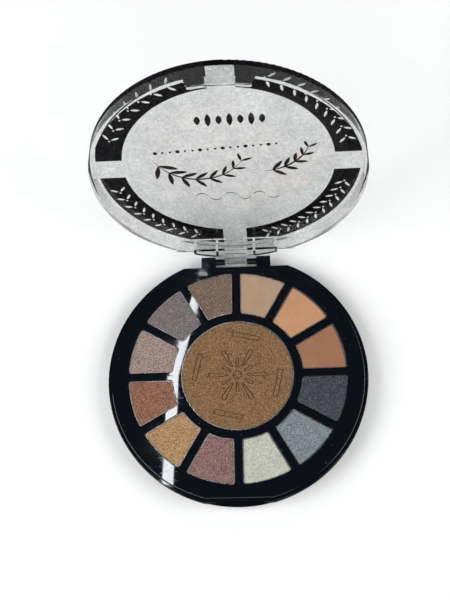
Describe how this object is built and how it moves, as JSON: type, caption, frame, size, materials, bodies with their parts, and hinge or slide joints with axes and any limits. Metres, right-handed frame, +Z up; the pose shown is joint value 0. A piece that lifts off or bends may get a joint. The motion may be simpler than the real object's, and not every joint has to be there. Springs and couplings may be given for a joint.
{
  "type": "eyeshadow palette",
  "caption": "Round palette of pressed powders in a black case, with a clear printed lid that swings on a rear pin hinge.",
  "frame": {"origin": "centre of the case's bottom face, on the surface it rests on", "axes": "+Z up, +Y from the front latch towards the hinge, +X to the right seen from the front"},
  "size_m": [0.122, 0.1537, 0.1222],
  "materials": {
    "case_black": "glossy black moulded plastic",
    "tray_black": "polished black moulded plastic",
    "pan_metal": "bright drawn sheet",
    "glue": "cured hot glue",
    "pin_steel": "drawn wire",
    "lid_clear": "clear polystyrene",
    "ink_black": "screen-printed ink",
    "shade_bronze_gold": "pressed shimmer powder",
    "shade_beige": "pressed powder, matte beige",
    "shade_peach": "pressed powder, matte peach",
    "shade_terracotta": "pressed powder, matte terracotta",
    "shade_charcoal": "pressed powder, charcoal shimmer",
    "shade_blue_grey": "pressed powder, blue grey shimmer",
    "shade_ivory": "pressed powder, ivory shimmer",
    "shade_mauve": "pressed powder, mauve shimmer",
    "shade_gold_copper": "pressed powder, golden copper shimmer",
    "shade_copper_brown": "pressed powder, copper brown shimmer",
    "shade_pink_taupe": "pressed powder, pink taupe shimmer",
    "shade_grey_taupe": "pressed powder, grey taupe shimmer",
    "shade_bronze_brown": "pressed powder, bronze brown shimmer"
  },
  "bodies": {
    "base": {"base_shell": "case_black", "pan_tray": "tray_black", "centre_pan": "pan_metal", "centre_powder": "shade_bronze_gold", "glue_dots": "glue", "hinge_pin": "pin_steel", "pan_01": "pan_metal", "powder_01": "shade_beige", "pan_02": "pan_metal", "powder_02": "shade_peach", "pan_03": "pan_metal", "powder_03": "shade_terracotta", "pan_04": "pan_metal", "powder_04": "shade_charcoal", "pan_05": "pan_metal", "powder_05": "shade_blue_grey", "pan_06": "pan_metal", "powder_06": "shade_ivory", "pan_07": "pan_metal", "powder_07": "shade_mauve", "pan_08": "pan_metal", "powder_08": "shade_gold_copper", "pan_09": "pan_metal", "powder_09": "shade_copper_brown", "pan_10": "pan_metal", "powder_10": "shade_pink_taupe", "pan_11": "pan_metal", "powder_11": "shade_grey_taupe", "pan_12": "pan_metal", "powder_12": "shade_bronze_brown"},
    "lid": {"lid_shell": "lid_clear", "lid_print_front_left": "ink_black", "lid_print_front_right": "ink_black", "lid_print_rear_left": "ink_black", "lid_print_rear_right": "ink_black", "lid_print_centre": "ink_black"}
  },
  "joints": [
    {"name": "lid_hinge", "type": "hinge", "parent": "base", "child": "lid", "pos_m": [0, 0.0587, 0.00466], "axis": [-1, 0, 0], "range_deg": [-101.2, 0]}
  ]
}
